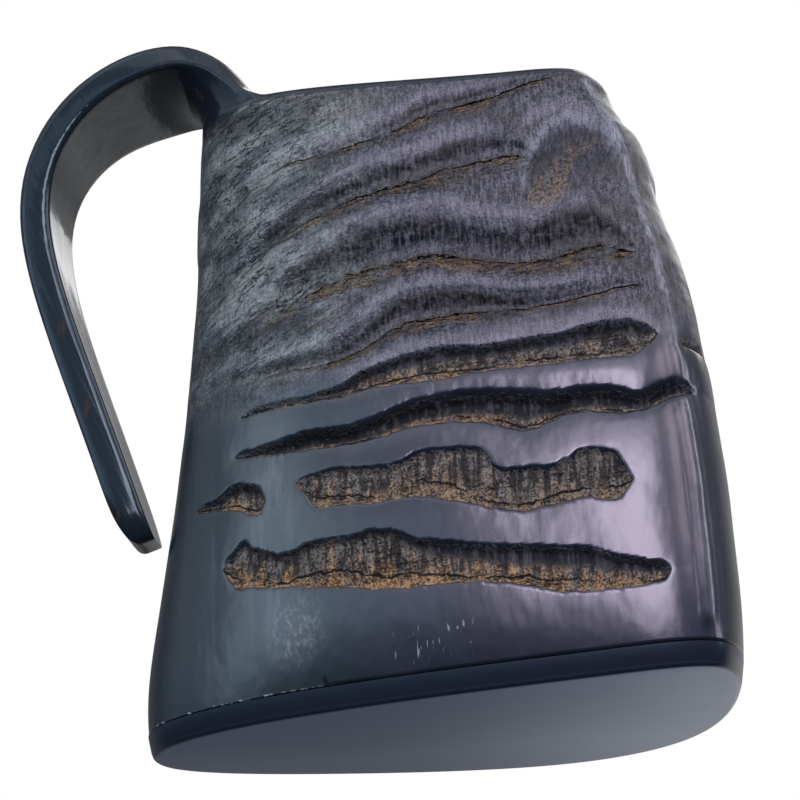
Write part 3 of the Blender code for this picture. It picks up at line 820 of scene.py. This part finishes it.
def polished_horn():
    """Buffalo horn, scraped and buffed: blue-black, with a lavender gloss, hairline fibres and ochre torn floors."""
    material, tree, shader = finish("polished_buffalo_horn", IOR=HORN_IOR)
    node = partial(add, tree)
    place = node("ShaderNodeTexCoord").outputs["Object"]
    swept = node("ShaderNodeVectorRotate", {"Vector": place, "Angle": RING_SWEEP}, rotation_type="Y_AXIS").outputs[0]
    noise = SimpleNamespace()
    for where, patterns in ((place, UPRIGHT_PATTERNS), (swept, SWEPT_PATTERNS)):
        for name, (per_metre, detail, seed, rough) in patterns.items():
            setattr(noise, name, node("noise", node("stretch", where, per_metre), seed, 1.0, detail, rough))

    attributes = [node("ShaderNodeAttribute", attribute_name=name) for name in ("edge", "skin", "ridge", "worn_crest")]
    edge, skin_share, ridge, crest = (attribute.outputs["Fac"] for attribute in attributes)
    facts = node("ShaderNodeAttribute", attribute_name="groove").outputs["Vector"]
    across, fibre, mark = node("split", facts)
    x, y, z = node("split", place)
    wall_only = node("ease", skin_share, 0.0, 0.3)
    front = node("ease", y, 0.0, -5 * MM)
    unclear = node("ease", z, *UNCLEAR_ABOVE)

    # The polished skin: clouds from teal-black to violet-grey. Above the middle it was only rubbed over, so short
    # fibres that run up the horn stay rough there, and longer ones that follow the rings
    high = node("ease", node("+", z, node("*", noise.clouds, 24 * MM)), *RUBBED_ABOVE)
    turned = node("max", node("-", x, 25 * MM), 0.0)
    behind = node("+", y, node("*", turned, 0.75))
    high = node("*", high, wall_only, (behind, 6 * MM, -12 * MM, 0.15, 1.0))
    left = node("*", (x, 4 * MM, -26 * MM), (y, 2 * MM, -12 * MM))
    rub = node("mix", node("*", left, 0.5), noise.hairs, noise.ringwise)
    rub = node("mix", 0.4, rub, noise.grains)
    cloudy = node("ease", noise.clouds, 0.35, 0.65)
    skin = node("paint", cloudy, "#10181f", "#1b1e28")
    skin = node("paint", node("*", left, 0.7), skin, node("paint", cloudy, "#0f1a1d", "#1d2526"))
    flecks = node("ease", noise.flecks, 0.6, 0.7, 0.0, 0.7)
    skin = node("paint", wall_only, node("paint", flecks, "#151c21", "#382b20"), skin)
    skin = node("paint", node("*", high, (rub, 0.45, 0.56, 0.0, 0.7)), skin, "#5b5b64")
    valley = node("*", (ridge, 0.5, 0.0), (noise.shade, 0.35, 0.65, 0.1, 0.7), high)
    skin = node("paint", valley, skin, "#2b2823")

    # The left of it is scuffed in patches, pale and dark, with fine splits
    scuffed = node("*", left, high, (z, 62 * MM, 98 * MM, 0.3, 1.0))
    skin = node("paint", node("*", scuffed, (rub, 0.42, 0.58, 0.05, 0.6)), skin, "#4b5554")
    scuffs = node("+", node("*", noise.worn, 1.5), node("*", noise.strokes, 0.5))
    pale = node("*", (scuffs, 0.95, 1.15), scuffed, (rub, 0.44, 0.56, 0.3, 0.85))
    skin = node("paint", pale, skin, "#767d7c")
    skin = node("paint", node("*", (scuffs, 0.94, 0.8), scuffed, 0.7), skin, "#070c10")
    splits = node("ease", node("abs", node("-", noise.splits, 0.5)), 0.018, 0.006)
    splits = node("*", splits, scuffed)
    skin = node("paint", node("*", splits, (noise.clouds, 0.42, 0.55)), skin, "#040608")

    # A painted sheen beside the left edge, a few small scratches near the base, a spot of painted glints, and painted
    # glints on the glued seam
    # The sheen is painted: pale light laid over the skin as a reflection
    painted_sheen_x = node("ease", node("abs", node("+", x, 31 * MM)), 9 * MM, 0.0)
    painted_sheen_z = node("*", (z, 8 * MM, 30 * MM), (z, 72 * MM, 60 * MM))
    haze = node("*", painted_sheen_x, painted_sheen_z, front, (noise.haze, 0.45, 0.65, 0.05, 0.3))
    skin = node("paint", haze, skin, "#666c72")
    nick_x = node("ease", node("abs", node("-", x, 3 * MM)), 11 * MM, 6 * MM)
    nick_z = node("ease", node("abs", node("-", z, 11 * MM)), 5 * MM, 2 * MM)
    nicks = node("*", nick_x, nick_z, front, (noise.nicks, 0.66, 0.72), 0.7)
    skin = node("paint", nicks, skin, "#8b8e98")
    # A spot of painted glints: pale sparkle painted in place of highlights
    flat = node("stretch", place, (1.0, 0.0, 0.9))
    spot = node("ShaderNodeVectorMath", {0: flat, 1: (-26 * MM, 0.0, 16 * MM)}, operation="DISTANCE").outputs["Value"]
    glints = node("ease", noise.glints, 0.45, 0.7, 0.04, 0.26)
    skin = node("paint", node("*", (spot, 9 * MM, 2 * MM), front, glints), skin, "#a9b0b2")
    # Pale dashes along the glued seam at the left, painted glints
    seam = node("ease", z, SEAM_HEIGHT + 0.3 * MM, SEAM_HEIGHT + 0.1 * MM)
    glue = node("*", seam, (x, -15 * MM, -40 * MM), (noise.glue, 0.52, 0.62))
    skin = node("paint", glue, skin, "#8a9396")

    # Torn floors: grains of about half a millimetre and lying cracks, ochre low down, and under the upper lip a dark
    # fibrous wall painted in shade
    mottle = node("+", node("*", noise.grains, 0.7), node("*", noise.clumps, 0.3))
    speck = node("ease", mottle, 0.4, 0.6)
    grey = node("paint", speck, "#151517", "#68645f")
    ochre = node("paint", speck, "#1f1711", "#9c7d58")
    low = node("-", 1.1, node("+", across, node("*", noise.patches, 0.9)))
    streaks = node("-", noise.streaks, 0.47)
    warm = node("+", node("*", low, 1.3), node("*", streaks, 4.0))
    warm = node("*", warm, (x, 45 * MM, 0.0, 0.6, 1.0))
    floor = node("paint", node("*", node("*", fibre, warm), 1.5, use_clamp=True), grey, ochre)
    standing = node("*", (noise.combs, 0.54, 0.42), (across, 0.1, 0.5, 0.2, 0.85))
    floor = node("paint", standing, floor, "#171617")
    # Under the upper lip the wall is painted in shade over its dark standing fibres, as far as the groove's mark says
    upper = node("+", node("*", mottle, 0.4), node("*", noise.combs, 0.7))
    upper = node("+", across, node("-", upper, 0.55))
    open_end = node("max", (x, -12 * MM, 14 * MM), (fibre, 0.74, 0.6))
    dark = node("ease", node("+", upper, node("*", mark, open_end)), 0.96, 1.2)
    wall = node("paint", (noise.combs, 0.45, 0.7), "#0c0e11", "#3b3c3f")
    floor = node("paint", dark, floor, wall)
    # One long crack wanders along the floor, and short ones lie beside it
    slant = node("abs", node("-", node("*", across, 2.0), 1.0))
    tall = node("/", node("*", edge, 2.0), node("max", node("-", 1.0, slant), 0.05))
    sway = node("*", node("-", noise.sway, 0.5), 0.9)
    jitter = node("-", noise.clumps, 0.5)
    winding = node("+", node("-", across, 0.28), sway, node("*", jitter, 0.22))
    cracks = node("ease", node("*", node("abs", winding), tall), 0.34 * MM, 0.1 * MM)
    cracks = node("*", cracks, (noise.gaps, 0.4, 0.5))
    short = node("ease", node("abs", node("-", noise.layers, 0.5)), 0.018, 0.006)
    cracks = node("max", cracks, node("*", short, (noise.patches, 0.5, 0.58)))
    cracks = node("*", cracks, (z, *UNCLEAR_ABOVE, 1.0, 0.25))
    floor = node("paint", cracks, floor, "#050505")

    # Terraces: a dull riser under the crest that looks down and is painted in shade, then one long thin crack with
    # ochre fibre along it
    terrace = node("ease", mark, 0.98, 1.0)
    inside = node("*", (edge, 0.0, 2.2 * MM), terrace)
    clear = node("*", inside, (x, -40 * MM, -20 * MM))
    above = node("-", node("+", across, node("*", jitter, 0.2)), node("-", mark, 1.0))
    line = node("ease", node("*", node("abs", above), tall), 0.26 * MM, 0.08 * MM)
    line = node("*", line, (noise.patches, 0.38, 0.48), clear)
    riser = node("*", (above, 0.1, 0.32), (across, 1.0, 0.8), inside)
    riser = node("*", riser, (noise.clumps, 0.3, 0.6, 0.35, 1.0), (x, -45 * MM, -8 * MM, 0.15, 1.0))
    band = node("*", (above, 0.08, -0.02), (above, -0.42, -0.04), clear)
    line = node("max", line, node("*", short, band))
    fibrous = node("*", fibre, 1.5, use_clamp=True)
    band = node("*", band, (node("+", noise.patches, mottle), 0.85, 1.15), fibrous)
    # The riser, which looks down, is painted in shade between its fibre teeth
    skin = node("paint", node("*", riser, (noise.teeth, 0.4, 0.6, 0.95, 0.3)), skin, "#070a0d")
    fluff = node("paint", (mottle, 0.38, 0.6), "#1a1815", "#7d674b")
    skin = node("paint", node("*", band, 0.8), skin, fluff)
    skin = node("paint", line, skin, "#030303")

    # Near the corner under the rim a healed dish has its edge painted pale as an arched highlight, and painted shade
    # inside, blue-black
    dish_x = node("/", node("-", x, DISH_X), DISH_HALF_LENGTH)
    dish_z = node("/", node("-", z, DISH_Z), DISH_HALF_HEIGHT)
    dish = node("root", node("+", node("*", dish_x, dish_x), node("*", dish_z, dish_z)))
    dish = node("+", dish, node("*", node("-", noise.patches, 0.5), 0.25))
    foot = node("*", node("+", dish_x, 1.0), 6 * MM)
    on_front = node("*", (node("-", z, DISH_FOOT, foot), 0.0, 6 * MM), front)
    # Painted shade inside the dish
    hollow = node("*", (dish, 0.98, 0.7), on_front, (rub, 0.44, 0.58, 0.9, 0.4))
    skin = node("paint", hollow, skin, "#0c131a")
    # Painted highlight along the dish's edge
    dish_highlight = node("ease", node("abs", node("-", dish, 1.0)), 0.17, 0.03)
    dish_highlight = node("*", dish_highlight, on_front, (rub, 0.42, 0.58, 0.1, 0.6))
    skin = node("paint", dish_highlight, skin, "#626b72")

    # The corner to the broad side is rubbed pale, and the pale line is also a painted highlight along the corner, faint
    # low down
    pale = node("*", (crest, 0.6, 1.0), (noise.scratches, 0.42, 0.6, 0.2, 0.8))
    pale = node("*", pale, (z, 60 * MM, 95 * MM, 0.25, 1.0), (noise.patches, 0.35, 0.6, 0.4, 1.0))
    skin = node("paint", pale, skin, "#848992")

    # The floors have ragged edges, which are soft in the upper part
    spikes = node("*", node("-", noise.combs, 0.5), (across, 0.45, 0.7, 0.0, 4.0 * MM))
    rim = node("+", edge, node("*", node("-", mottle, 0.5), 1.2 * MM), spikes)
    crisp = node("ease", rim, -0.15 * MM, 0.25 * MM)
    torn = node("mix", unclear, crisp, (rim, -0.4 * MM, 4 * MM, 0.0, 0.6))
    torn = node("*", torn, node("-", 1.0, terrace))
    colour = node("paint", torn, skin, floor)

    # The buffing wheel reached the crests of the ridges and left the hollows dull
    dull = node("*", high, (ridge, 0.0, 0.8, 1.0, 0.0), (rub, 0.35, 0.65, 1.0, 0.4))
    dull = node("max", dull, riser, band, line)
    gloss = node("mix", wall_only, 0.12, node("+", node("*", dull, 0.24), 0.25))
    rough = node("mix", torn, gloss, 0.75)
    deep = node("max", line, node("*", riser, (noise.teeth, 0.4, 0.6, 0.9, 0.4)))
    shine = node("mix", node("max", torn, dull), 0.56, 0.16)
    shine = node("mix", wall_only, 0.3, node("mix", deep, shine, 0.0))
    tint = node("paint", (x, -45 * MM, 15 * MM), "#d8e4ea", "#e8e0f0")
    tint = node("paint", wall_only, "#b4c4d2", tint)

    # Fibres, scuffed strips, soft dents and, on the strap, scraped facets, and then the coarser floors over them
    smooth = node("-", wall_only, torn, use_clamp=True)
    fibres = node("*", rub, smooth, (high, 0.0, 1.0, 0.1, 1.6))
    strips = node("+", node("*", noise.worn, 4.0), node("*", noise.strokes, 1.2))
    strips = node("*", node("-", strips, splits), scuffed)
    dents = node("*", noise.dents, node("-", node("*", wall_only, 1.6), high))
    facets = node("*", noise.facets, (wall_only, 0.5, 0.0, 0.0, 0.8))
    fine = node("+", fibres, strips, dents, facets)
    bump = node("ShaderNodeBump", {"Strength": 0.9, "Distance": 0.35 * MM, "Height": fine}).outputs[0]
    grain = node("*", node("mix", dark, node("-", mottle, cracks), noise.combs), torn)
    coarse = node("+", grain, node("*", riser, noise.teeth, 1.4), node("*", band, mottle))
    coarse = {"Strength": 0.9, "Distance": 0.5 * MM, "Height": node("-", coarse, line), "Normal": bump}
    bump = node("ShaderNodeBump", coarse).outputs[0]

    looks = {"Base Color": colour, "Roughness": rough, "Specular IOR Level": shine, "Specular Tint": tint}
    for name, value in {**looks, "Normal": bump}.items():
        tree.links.new(value, shader.inputs[name])
    return material


def satin_horn():
    """The base: a sawn slab of the same horn, sanded to a satin, slate grey, with painted light that makes it paler
    towards the broad side.
    """
    values = {"IOR": HORN_IOR, "Roughness": 0.3, "Specular_Tint": linear("#d2def4")}
    material, tree, shader = finish("satin_horn_slab", **values)
    node = partial(add, tree)
    place = node("ShaderNodeTexCoord").outputs["Object"]
    x, _, z = node("split", place)
    # Clouds of 40 mm along the slab and 17 mm across it
    clouds = node("noise", node("stretch", place, (25, 60, 60)), 0.0, 1.0, 3.0, 0.5)
    # Painted light: the slab grows paler towards the broad side
    pale = node("ease", node("+", node("*", clouds, 40 * MM), x), 5 * MM, 95 * MM)
    side = node("ease", z, 0.02 * MM, 0.2 * MM)
    colour = node("paint", side, node("paint", pale, "#485b71", "#717f96"), "#161d26")
    tree.links.new(colour, shader.inputs["Base Color"])
    tree.links.new(node("ease", side, 0.0, 1.0, 0.5, 0.45), shader.inputs["Specular IOR Level"])
    return material


def clear_glue():
    """The bead of resin adhesive inside: amber and glossy."""
    return finish("amber_resin_glue", Base_Color=linear("#6b4a24"), Roughness=0.2)[0]


def base_plate():
    """The base: the seam's outline, drawn in a little downwards, with a rounded lower edge."""
    profile = [
        (PLATE_CHAMFER, PLATE_THICKNESS),
        (0.0, PLATE_THICKNESS - PLATE_CHAMFER),
        (PLATE_DRAFT * 0.8, PLATE_EDGE_RADIUS + 0.2 * MM),
    ]
    for turn in np.linspace(0, math.pi / 2, 7):
        inwards = PLATE_DRAFT + PLATE_EDGE_RADIUS * (1 - math.cos(turn))
        profile.append((inwards, PLATE_EDGE_RADIUS * (1 - math.sin(turn))))
    mesh = bmesh.new()
    pick = np.arange(PLATE_SIDES) * OUTLINE_SAMPLES // PLATE_SIDES
    rings = []
    for inwards, height in profile:
        rings.append([mesh.verts.new((x, y, height)) for x, y in inset(SEAM_OUTLINE, inwards)[pick]])
    mesh.faces.new(rings[0])
    mesh.faces.new(reversed(rings[-1]))
    for upper, lower in zip(rings, rings[1:]):
        add_band(mesh, lower, upper)
    plate = put("horn_base_slab", mesh)
    plate.data.set_sharp_from_angle(angle=PLATE_SHARP_ANGLE)
    return plate


def glue_bead():
    """The glue in the corner inside: a round bead that follows the wall a little way off."""
    height = PLATE_THICKNESS + BEAD_CLEARANCE + BEAD_RADIUS
    route = inset(horn_outline(np.full(OUTLINE_SAMPLES, height)), WALL_AT_SEAM + BEAD_CLEARANCE + BEAD_RADIUS)
    mesh = bmesh.new()
    rings = []
    for turn in np.linspace(0, 2 * math.pi, BEAD_SIDES, endpoint=False):
        ring = inset(route, BEAD_RADIUS * math.cos(turn))[::BEAD_STRIDE]
        rings.append([mesh.verts.new((x, y, height + BEAD_RADIUS * math.sin(turn))) for x, y in ring])
    for ring, after in zip(rings, rings[1:] + rings[:1]):
        add_band(mesh, after, ring)
    bmesh.ops.recalc_face_normals(mesh, faces=mesh.faces)
    return put("glue_bead", mesh)


def studio():
    """Camera, pale floor and soft light."""
    scene = bpy.context.scene
    scene.view_settings.view_transform = "Standard"

    # The view is from below, a little from the broad side, as the picture was taken
    turn, rise, roll, distance = math.radians(7.5), math.radians(-22), math.radians(3), 0.55
    target = Vector((-4.7, -5.5, 75.0)) * MM
    back = Vector((math.sin(turn) * math.cos(rise), -math.cos(turn) * math.cos(rise), math.sin(rise)))
    right = (-back).cross(Vector((0, 0, 1))).normalized()
    up = right.cross(-back)
    right, up = right * math.cos(roll) - up * math.sin(roll), right * math.sin(roll) + up * math.cos(roll)
    lens = bpy.data.cameras.new("camera")
    lens.lens = 111.64
    lens.sensor_width = 36
    camera = bpy.data.objects.new("camera", lens)
    camera.matrix_world = Matrix.Translation(target + back * distance) @ Matrix((right, up, back)).transposed().to_4x4()
    scene.collection.objects.link(camera)
    scene.camera = camera

    world = bpy.data.worlds.new("studio")
    scene.world = world
    world.use_nodes = True
    world.node_tree.nodes.clear()
    node = partial(add, world.node_tree)
    path = node("ShaderNodeLightPath").outputs
    sideways, depth, height = node("split", node("ShaderNodeTexCoord").outputs["Generated"])
    # The white sweep behind is seen directly, and in gloss to the right
    shiny = node("max", path["Is Glossy Ray"], path["Is Transmission Ray"])
    sweep = node("*", (depth, 0.1, 0.6), (sideways, -0.15, 0.08, 0.22, 1.0), (height, 0.3, -0.1, 0.4, 1.0))
    white = node("max", path["Is Camera Ray"], node("*", shiny, sweep))
    bright = node("*", (depth, 0.45, -0.1, 0.12, 1.0), (height, -0.14, 0.2, 0.12, 1.0))
    level = node("mix", shiny, 0.35, bright)
    tone = node("paint", (height, 0.05, 0.7), "#b9c8e6", "#dcdfee")
    room = node("ShaderNodeBackground", {"Color": tone, "Strength": level}).outputs[0]
    backdrop = node("ShaderNodeBackground", {"Color": "#ffffff", "Strength": 1.0}).outputs[0]
    both = node("ShaderNodeMixShader", {0: white, 1: room, 2: backdrop}).outputs[0]
    node("ShaderNodeOutputWorld", {0: both})

    for name, way, distance, size, power, colour in SOFTBOXES:
        lamp = bpy.data.lights.new(name, "AREA")
        lamp.shape = "RECTANGLE"
        lamp.size, lamp.size_y = size
        lamp.energy = power
        lamp.color = linear(colour)[:3]
        box = bpy.data.objects.new(name, lamp)
        way = Vector(way).normalized()
        turned = way.to_track_quat("Z", "Y").to_matrix().to_4x4()
        box.matrix_world = Matrix.Translation(Vector((0, 0, 80 * MM)) + way * distance) @ turned
        scene.collection.objects.link(box)

    # The floor hides nothing from below: it is seen, and stops light, only from above
    mesh = bmesh.new()
    bmesh.ops.create_grid(mesh, x_segments=1, y_segments=1, size=3)
    bmesh.ops.translate(mesh, vec=(0, 0, -0.2 * MM), verts=mesh.verts)
    floor = put("floor", mesh)
    material, tree, board = finish("pale_matt_board", Base_Color=linear("#f0f0f0"), Roughness=0.9)
    node = partial(add, tree)
    path = node("ShaderNodeLightPath").outputs
    under = node("ShaderNodeNewGeometry").outputs["Backfacing"]
    clear = node("max", under, node(">", path["Transparent Depth"], 0.5))
    glass = node("ShaderNodeBsdfTransparent").outputs[0]
    both = node("ShaderNodeMixShader", {0: clear, 1: board.outputs[0], 2: glass}).outputs[0]
    tree.links.new(both, tree.nodes["Material Output"].inputs["Surface"])
    floor.data.materials.append(material)


studio()

horn = smooth_horn()
run_tree(
    horn,
    carving_tree(),
    Finish=polished_horn(),
    Seed=3.0,
    Lip_Width=2.8 * MM,
    Ragged=1.1 * MM,
    Fibre_Height=0.9 * MM,
    Lumps=1.8 * MM,
    Ring_Height=2.0 * MM,
    Crest_Height=0.5 * MM,
    Belly=2.0 * MM,
    Foot=0.8 * MM,
)
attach(horn, "root")
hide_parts("horn_body")

plate = base_plate()
plate.data.materials.append(satin_horn())
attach(plate, "root")
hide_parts("base_plate")

bead = glue_bead()
bead.data.materials.append(clear_glue())
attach(bead, "root")
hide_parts("seal_bead")
